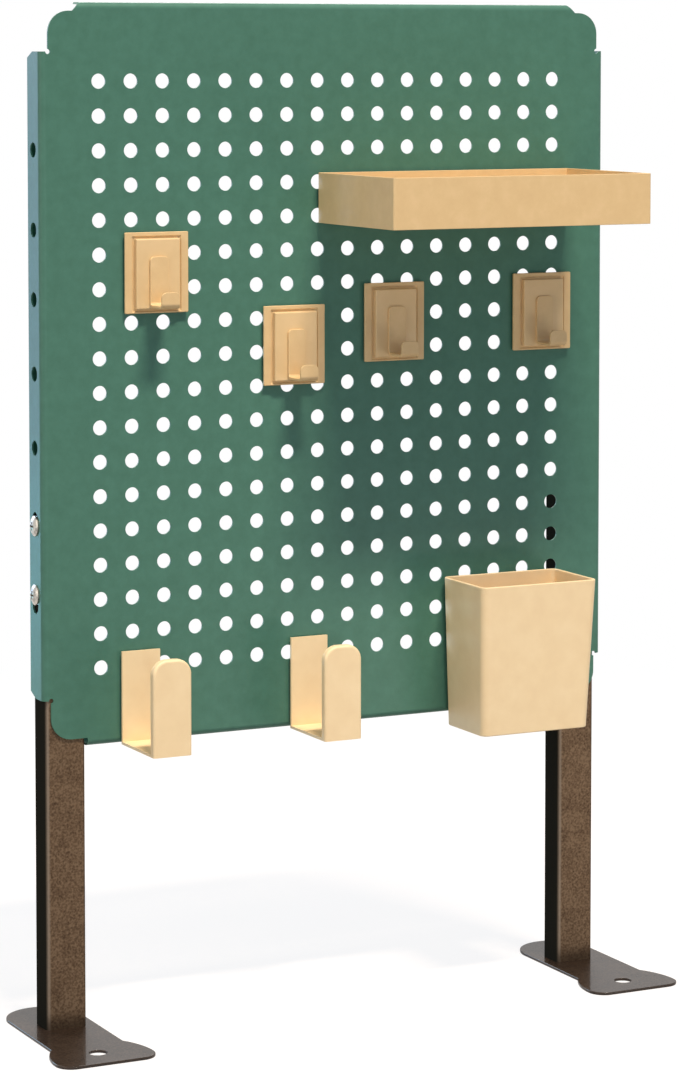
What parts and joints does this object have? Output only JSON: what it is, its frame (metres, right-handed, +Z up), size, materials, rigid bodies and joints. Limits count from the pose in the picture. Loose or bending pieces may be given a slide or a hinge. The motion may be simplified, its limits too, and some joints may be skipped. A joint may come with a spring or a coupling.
{
  "type": "pegboard desk organizer",
  "caption": "Perforated folded-steel board on two tube legs with flat feet, carrying a magnetic shelf tray, pen cup, note holders and hooks.",
  "frame": {"origin": "middle of the base of the whole object, on the desk under the feet", "axes": "+Z up, +X to the user's right, -Y towards the user"},
  "size_m": [0.4482, 0.1676, 0.6571],
  "materials": {
    "board_green": "satin",
    "leg_bronze": "hammertone",
    "foot_bronze": "gloss",
    "cream_metal": "satin",
    "cream_plastic": "satin",
    "hook_plastic": "satin",
    "plated_steel": "plated",
    "magnet_sheet": "matte"
  },
  "bodies": {
    "stand": {"left_leg_tube": "leg_bronze", "right_leg_tube": "leg_bronze", "left_foot_plate": "foot_bronze", "right_foot_plate": "foot_bronze", "left_leg_bolts": "plated_steel", "right_leg_bolts": "plated_steel", "left_leg_rivet_nuts": "plated_steel", "right_leg_rivet_nuts": "plated_steel", "right_leg_spacers": "plated_steel"},
    "board": {"pegboard_panel": "board_green"},
    "tray": {"shelf_tray": "cream_metal", "shelf_tray_magnets": "magnet_sheet"},
    "cup": {"pen_cup": "cream_plastic", "pen_cup_magnet": "magnet_sheet"},
    "left_holder": {"left_note_holder": "cream_plastic", "left_note_holder_magnet": "magnet_sheet"},
    "right_holder": {"right_note_holder": "cream_plastic", "right_note_holder_magnet": "magnet_sheet"},
    "hook_one": {"hook_one_magnet": "magnet_sheet", "hook_one_plate": "cream_metal", "hook_one_block": "hook_plastic", "hook_one_strip": "cream_metal"},
    "hook_two": {"hook_two_magnet": "magnet_sheet", "hook_two_plate": "cream_metal", "hook_two_block": "hook_plastic", "hook_two_strip": "cream_metal"},
    "hook_three": {"hook_three_magnet": "magnet_sheet", "hook_three_plate": "cream_metal", "hook_three_block": "hook_plastic", "hook_three_strip": "cream_metal"},
    "hook_four": {"hook_four_magnet": "magnet_sheet", "hook_four_plate": "cream_metal", "hook_four_block": "hook_plastic", "hook_four_strip": "cream_metal"}
  },
  "joints": [
    {"name": "board_height", "type": "slide", "parent": "stand", "child": "board", "axis": [0, 0, 1], "range_m": [0, 0.003]},
    {"name": "tray_pull_off", "type": "slide", "parent": "board", "child": "tray", "axis": [0, -1, 0], "range_m": [0, 0.06]},
    {"name": "cup_pull_off", "type": "slide", "parent": "board", "child": "cup", "axis": [0, -1, 0], "range_m": [0, 0.06]},
    {"name": "left_holder_pull_off", "type": "slide", "parent": "board", "child": "left_holder", "axis": [0, -1, 0], "range_m": [0, 0.06]},
    {"name": "right_holder_pull_off", "type": "slide", "parent": "board", "child": "right_holder", "axis": [0, -1, 0], "range_m": [0, 0.06]},
    {"name": "hook_one_pull_off", "type": "slide", "parent": "board", "child": "hook_one", "axis": [0, -1, 0], "range_m": [0, 0.06]},
    {"name": "hook_two_pull_off", "type": "slide", "parent": "board", "child": "hook_two", "axis": [0, -1, 0], "range_m": [0, 0.06]},
    {"name": "hook_three_pull_off", "type": "slide", "parent": "board", "child": "hook_three", "axis": [0, -1, 0], "range_m": [0, 0.06]},
    {"name": "hook_four_pull_off", "type": "slide", "parent": "board", "child": "hook_four", "axis": [0, -1, 0], "range_m": [0, 0.06]}
  ]
}
